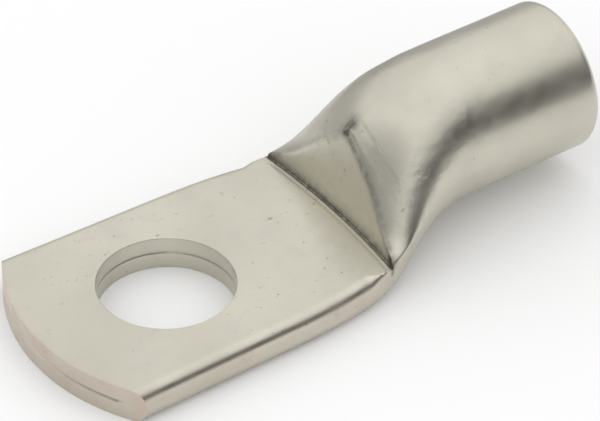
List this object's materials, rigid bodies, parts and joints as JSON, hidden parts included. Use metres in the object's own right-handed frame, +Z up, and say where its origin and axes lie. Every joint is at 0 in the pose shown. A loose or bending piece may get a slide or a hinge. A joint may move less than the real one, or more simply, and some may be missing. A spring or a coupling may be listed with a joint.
{
  "type": "copper cable lug",
  "caption": "Flat-palm tinned copper cable lug pressed from a single tube, with a stud hole in the palm and a round barrel for the cable.",
  "frame": {"origin": "on the stud hole's axis, in the plane of the palm's underside", "axes": "+X along the lug from the palm towards the barrel's mouth, +Z up through the palm towards the side that the barrel rises on, +Y completes the right-handed frame"},
  "size_m": [0.047, 0.0194, 0.0128],
  "materials": {
    "tinned_copper": "satin electro-tinned copper, slightly soiled, with the copper's warmth showing at the cut faces"
  },
  "bodies": {
    "root": {"lug": "tinned_copper"}
  },
  "joints": []
}
